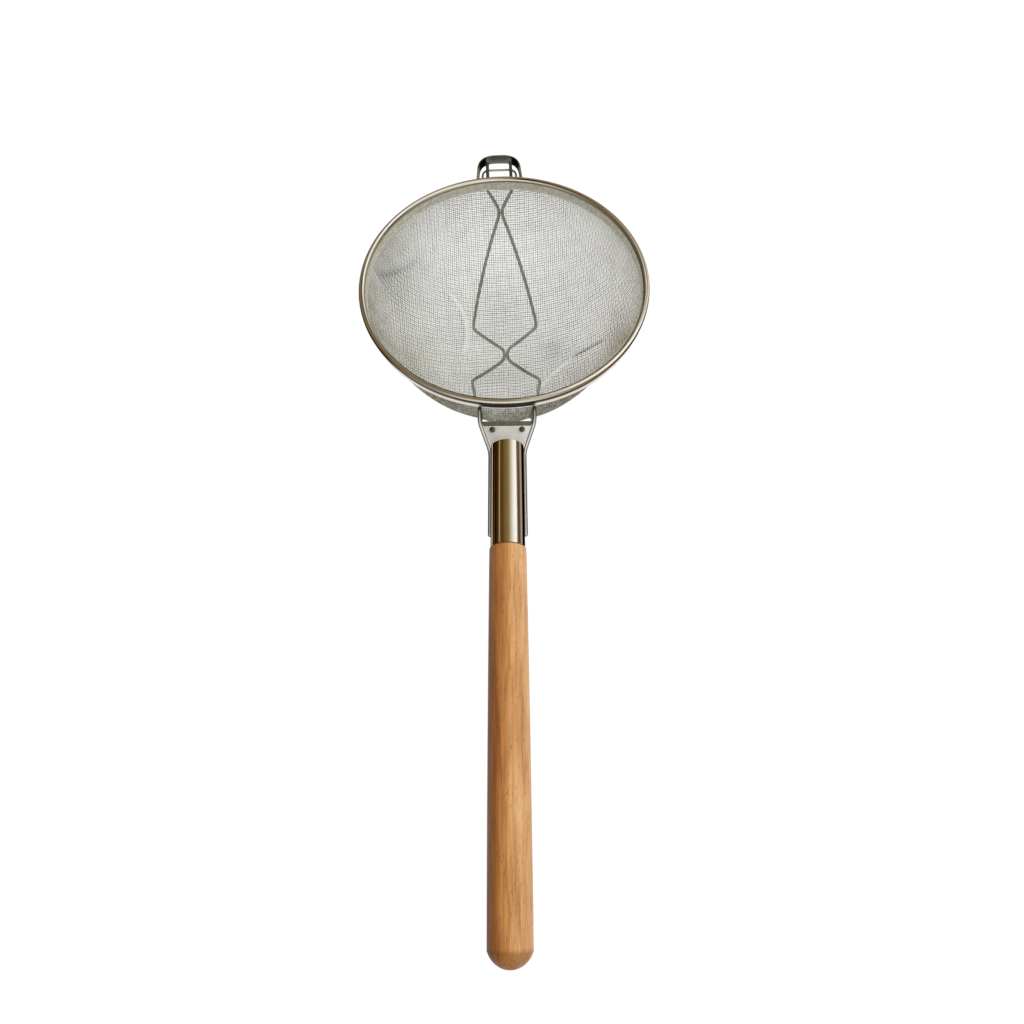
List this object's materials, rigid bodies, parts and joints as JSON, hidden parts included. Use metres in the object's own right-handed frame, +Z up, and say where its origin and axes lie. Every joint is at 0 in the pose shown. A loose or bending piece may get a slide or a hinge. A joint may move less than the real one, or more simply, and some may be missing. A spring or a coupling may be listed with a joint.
{
  "type": "mesh strainer",
  "caption": "Deep round kitchen strainer with a double wire-mesh bowl, rolled steel rim, under-bowl wire frame, pan hook, riveted neck plate, steel ferrule and long wooden handle.",
  "frame": {"origin": "on the table under the middle of the part's bounding box, with the strainer lying at rest on its bowl wires and the end of its handle", "axes": "+Z up from the table, -Y towards the end of the handle, +Y towards the pan hook, +X to the right seen from the handle"},
  "size_m": [0.26, 0.6882, 0.132],
  "materials": {
    "polished_steel": "polished stainless steel",
    "matte_steel": "dull stainless strip",
    "outer_mesh": "woven steel wire cloth",
    "inner_mesh": "woven steel wire cloth",
    "polished_wire": "bright drawn wire",
    "stamped_steel": "satin stamped sheet",
    "rivet_steel": "dark dull steel",
    "ferrule_steel": "polished stainless tube",
    "beech": "oiled beech, lengthwise grain"
  },
  "bodies": {
    "root": {"rim_hoop": "polished_steel", "rim_clamp_ring": "matte_steel", "outer_mesh_bowl": "outer_mesh", "inner_mesh_bowl": "inner_mesh", "frame_wire_left": "polished_wire", "frame_wire_right": "polished_wire", "pan_hook_strip": "polished_steel", "pan_hook_cross_wire": "polished_wire", "neck_plate": "stamped_steel", "neck_backing_plate": "stamped_steel", "neck_rivet_left": "rivet_steel", "neck_rivet_right": "rivet_steel", "ferrule": "ferrule_steel", "wooden_handle": "beech", "ferrule_pin": "rivet_steel"}
  },
  "joints": []
}
